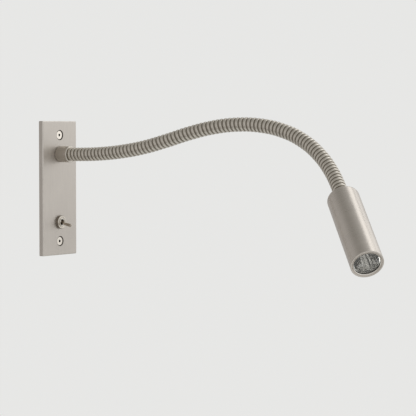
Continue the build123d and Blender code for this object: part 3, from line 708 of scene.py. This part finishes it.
def makeReflector():
    # rings of dished facets from the throat out to the mouth, then a flat flange
    outline = []
    for band in range(bowl["bands"] + 1):
        share = band / bowl["bands"]
        radius = bowl["throat"] + (bowl["mouth"] - bowl["throat"]) * share ** bowl["curve"]
        outline.append((radius, bowl["rear"] + (bowl["front"] - bowl["rear"]) * share))
    piece = turned("reflector_bowl", outline, bowl["facets"])
    edit(piece, "FACE")
    bpy.ops.mesh.select_all(action="SELECT")
    bpy.ops.mesh.flip_normals()
    bpy.ops.mesh.inset(use_individual=True, thickness=bowl["inset"], depth=-bowl["dish"])
    bpy.ops.mesh.select_mode(type="EDGE")
    bpy.ops.mesh.select_all(action="DESELECT")
    pick(piece, "edges", lambda e: e.is_boundary and e.verts[0].co.z > bowl["front"] - near)
    bpy.ops.mesh.extrude_edges_move()
    size = bowl["flange"] / bowl["mouth"]
    bpy.ops.transform.resize(value=(size, size, 1), center_override=(0, 0, bowl["front"]))
    done(piece)
    modify(piece, "SOLIDIFY", thickness=bowl["wall"], offset=-1, use_rim=True)
    settle(piece, headPlace)
    piece.data.materials.append(finishes["reflector_metal"])
    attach(piece, "head")
    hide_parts("reflector")


glassLens = {"radius": 12.3 * mm, "rear": 84.1 * mm, "edge": 85.6 * mm,
             "domeRadius": 11.1 * mm, "front": 86.65 * mm, "rings": 8, "pole": 0.4 * mm,
             "segments": 96, "smoothAngle": 30}


def makeLens():
    # a flat back and a low domed front, closed to a point at both poles
    dome = glassLens["domeRadius"]
    rise = glassLens["front"] - glassLens["edge"]
    ball = (dome ** 2 + rise ** 2) / (2 * rise)
    outline = [(glassLens["pole"], glassLens["rear"]), (glassLens["radius"], glassLens["rear"]),
               (glassLens["radius"], glassLens["edge"])]
    for step in range(glassLens["rings"] + 1):
        radius = dome + (glassLens["pole"] - dome) * step / glassLens["rings"]
        height = glassLens["front"] - ball + math.sqrt(ball ** 2 - radius ** 2)
        outline.append((radius, height))
    piece = turned("lens_dome", outline, glassLens["segments"])
    for height in (outline[0][1], outline[-1][1]):
        edit(piece)
        pick(piece, "verts", lambda v: v.is_boundary and abs(v.co.z - height) < near)
        bpy.ops.mesh.merge(type="CENTER")
        done(piece)
    tidyNormals(piece)
    settle(piece, headPlace)
    smooth(piece, glassLens["smoothAngle"])
    piece.data.materials.append(finishes["lens_glass"])
    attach(piece, "head")
    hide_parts("front_lens")


makeReflector()
makeLens()
print("reflector and lens made")

camera = {"place": (-1.2807, -1.0930, 0.0562), "heading": 54.558, "dip": 2.583,
          "lens": 149.2, "sensor": 36}
bpy.ops.object.camera_add(location=camera["place"], rotation=(
    math.radians(90 - camera["dip"]), 0, math.radians(-camera["heading"])))
view = bpy.context.object
view.data.lens = camera["lens"]
view.data.sensor_width = camera["sensor"]
bpy.context.scene.camera = view
bpy.context.scene.view_settings.view_transform = "Standard"

studio = {"pale": (0.799, 0.799, 0.787), "key": Vector((0.35, -0.93, 0.05)),
          "keyFrom": -0.60, "keyTo": 0.80, "keyShade": 0.80,
          "side": (0.50, 0.485, 0.47),
          "above": (0.31, 0.30, 0.28), "aboveFrom": 0.35, "aboveTo": 0.95,
          "below": (0.22, 0.20, 0.185), "belowFrom": -0.15, "belowTo": -0.8,
          "behind": Vector((0.81, 0.58, 0.0)), "behindFrom": -0.1, "behindTo": 0.5,
          "deep": (0.03, 0.03, 0.03), "deepShare": 0.85,
          "patches": (1.7, 1.0, 0.5), "patchesFrom": 0.46, "patchesTo": 0.60}


def makeWorld():
    # a pale backdrop behind the lamp and round the key side, dimmer on the far side
    world = bpy.data.worlds.new("studio")
    bpy.context.scene.world = world
    world.use_nodes = True
    tree = world.node_tree
    direction = Socket(tree, tree.nodes.new("ShaderNodeTexCoord").outputs["Generated"])
    height = node(tree, "ShaderNodeSeparateXYZ", {}, direction, out=2)
    towardKey = vectorMaths(tree, "DOT_PRODUCT", direction, studio["key"], out=1)
    towardBack = vectorMaths(tree, "DOT_PRODUCT", direction, studio["behind"], out=1)
    lit = studio["keyShade"] * ease(tree, towardKey, studio["keyFrom"], studio["keyTo"])
    dim = mixColour(tree, ease(tree, height, studio["aboveFrom"], studio["aboveTo"]),
                    studio["side"], studio["above"])
    dim = mixColour(tree, ease(tree, -1 * height, -studio["belowFrom"], -studio["belowTo"]),
                    dim, studio["below"])
    # camera rays, and those through the glass towards the backdrop, see it as it is;
    # metal and the reflector see it on the key side
    ray = tree.nodes.new("ShaderNodeLightPath")
    cameraRay = Socket(tree, ray.outputs["Is Camera Ray"])
    glossyRay = Socket(tree, ray.outputs["Is Glossy Ray"])
    through = Socket(tree, ray.outputs["Is Transmission Ray"])
    through = through * (1 - ease(tree, towardBack, studio["behindFrom"], studio["behindTo"]))
    dim = mixColour(tree, studio["deepShare"] * through, dim, studio["deep"])
    patches = ease(tree, noise(tree, direction, *studio["patches"]), studio["patchesFrom"],
                   studio["patchesTo"])
    lit = (lit * (1 - through) + through * patches).clamp()
    share = (1 - (glossyRay + through).clamp() * (1 - cameraRay) * (1 - lit)).clamp()
    colour = mixColour(tree, share, dim, studio["pale"])
    tree.links.new(colour.link, tree.nodes["Background"].inputs[0])


makeWorld()

lamps = {
    # name: place, point it faces, width, height, watts
    "softbox": ((0.68, -0.43, 0.955), (-0.03, -0.36, -0.04), 0.90, 0.48, 1.26),
    "key": ((0.73, -0.52, 0.29), (0, 0, 0.05), 0.54, 0.54, 0.48),
    "glint": ((-0.088, -0.50, -0.47), (-0.076, -0.387, -0.052), 0.04, 0.07, 0.014),
}
for name, (place, target, width, height, watts) in lamps.items():
    facing = (Vector(target) - Vector(place)).to_track_quat("-Z", "Y")
    bpy.ops.object.light_add(type="AREA", location=place, rotation=facing.to_euler())
    lamp = bpy.context.object
    lamp.name = name
    lamp.data.shape = "RECTANGLE"
    lamp.data.size, lamp.data.size_y = width, height
    lamp.data.energy = watts
    lamp.visible_camera = False

floor = {"radius": 1.1, "centre": (0, -0.2, -0.60), "sides": 96, "colour": (0.72, 0.72, 0.71),
         "roughness": 0.9, "fadeFrom": 0.35, "fadeTo": 0.98}


def makeFloor():
    # a pale round floor that fades out at its edge
    deselectAll()
    bpy.ops.mesh.primitive_circle_add(vertices=floor["sides"], radius=floor["radius"],
                                      fill_type="NGON", location=floor["centre"])
    piece = newest("studioFloor")
    settle(piece, piece.matrix_world.copy())
    material, tree, shader = newMaterial("paleFloor")
    feed(tree, shader, Base_Color=(*floor["colour"], 1), Roughness=floor["roughness"])
    fromCentre = vectorMaths(tree, "DISTANCE", position(tree), floor["centre"], out=1)
    edge = ease(tree, fromCentre, floor["fadeFrom"] * floor["radius"],
                floor["fadeTo"] * floor["radius"], 1.0, 0.0)
    clear = tree.nodes.new("ShaderNodeBsdfTransparent")
    mix = tree.nodes.new("ShaderNodeMixShader")
    tree.links.new(edge.link, mix.inputs[0])
    tree.links.new(clear.outputs[0], mix.inputs[1])
    tree.links.new(shader.outputs[0], mix.inputs[2])
    tree.links.new(mix.outputs[0], tree.nodes["Material Output"].inputs[0])
    piece.data.materials.append(material)


makeFloor()
print("studio made")
